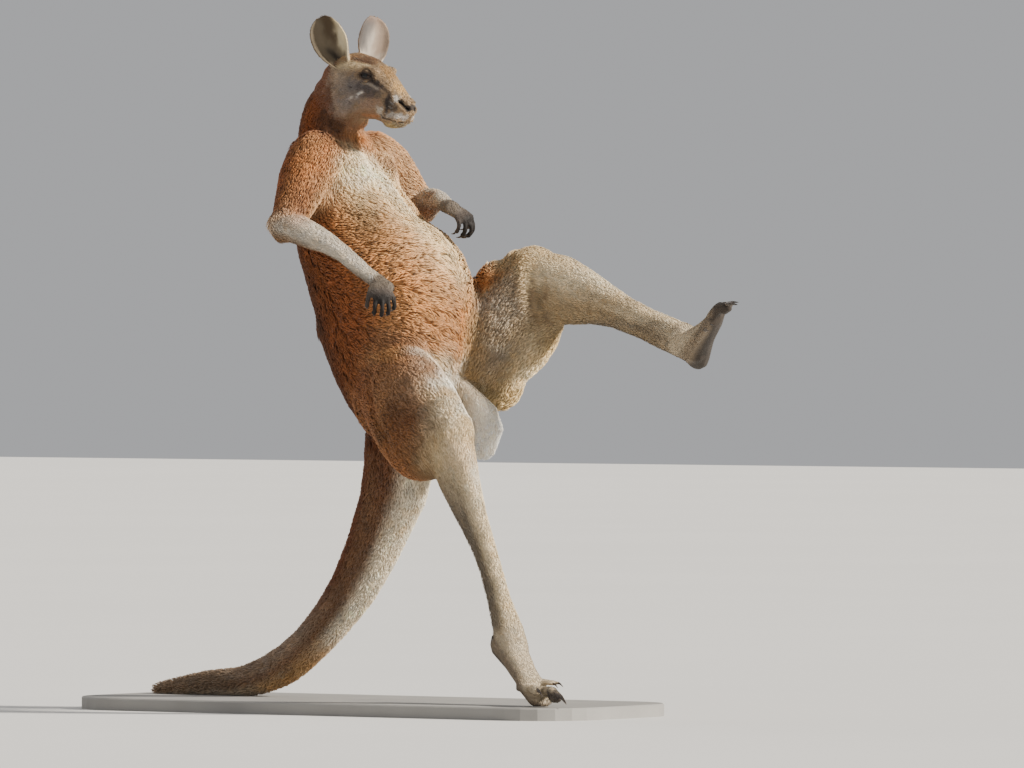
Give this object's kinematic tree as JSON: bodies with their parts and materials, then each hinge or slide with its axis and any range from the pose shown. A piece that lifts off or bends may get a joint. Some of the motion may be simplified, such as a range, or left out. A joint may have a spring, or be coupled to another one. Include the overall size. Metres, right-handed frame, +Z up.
{
  "type": "red kangaroo",
  "caption": "Adult male red kangaroo, life size, reared back on a hind foot and the tail while kicking forward with the other foot, on a plain slab base.",
  "frame": {"origin": "middle of the bounding box, on the underside of the base", "axes": "+X the way the animal faces and kicks, +Y the animal's left, +Z up"},
  "size_m": [1.8026, 0.632, 1.6754],
  "materials": {
    "rust_fur": "short dense red-brown fur",
    "tan_fur": "tan fur",
    "pale_fur": "short pale grey fur",
    "grey_fur": "short grey-brown fur",
    "dark_fur": "bare dark skin and very short dark fur",
    "claw": "smooth dark horn",
    "eye": "wet dark eye",
    "stand": "plain matt grey-brown"
  },
  "bodies": {
    "root": {"belly": "rust_fur", "chest": "rust_fur", "ear_L": "grey_fur", "ear_R": "grey_fur", "eye_L": "eye", "eye_R": "eye", "finger_claw_fourth_L": "claw", "finger_claw_fourth_R": "claw", "finger_claw_little_L": "claw", "finger_claw_little_R": "claw", "finger_claw_middle_L": "claw", "finger_claw_middle_R": "claw", "finger_claw_second_L": "claw", "finger_claw_second_R": "claw", "finger_claw_thumb_L": "claw", "finger_claw_thumb_R": "claw", "foot_L": "pale_fur", "foot_R": "pale_fur", "forearm_L": "pale_fur", "forearm_R": "pale_fur", "hand_L": "dark_fur", "hand_R": "dark_fur", "head": "grey_fur", "neck": "rust_fur", "scrotum": "tan_fur", "shank_L": "pale_fur", "shank_R": "pale_fur", "stand_base": "stand", "tail_bend": "tan_fur", "tail_middle": "tan_fur", "tail_root": "rust_fur", "tail_tip": "tan_fur", "thigh_L": "rust_fur", "thigh_R": "rust_fur", "toe_claw_fifth_L": "claw", "toe_claw_fifth_R": "claw", "toe_claw_fourth_L": "claw", "toe_claw_fourth_R": "claw", "toe_claw_second_L": "claw", "toe_claw_second_R": "claw", "toe_claw_third_L": "claw", "toe_claw_third_R": "claw", "upper_arm_L": "rust_fur", "upper_arm_R": "rust_fur"}
  },
  "joints": []
}
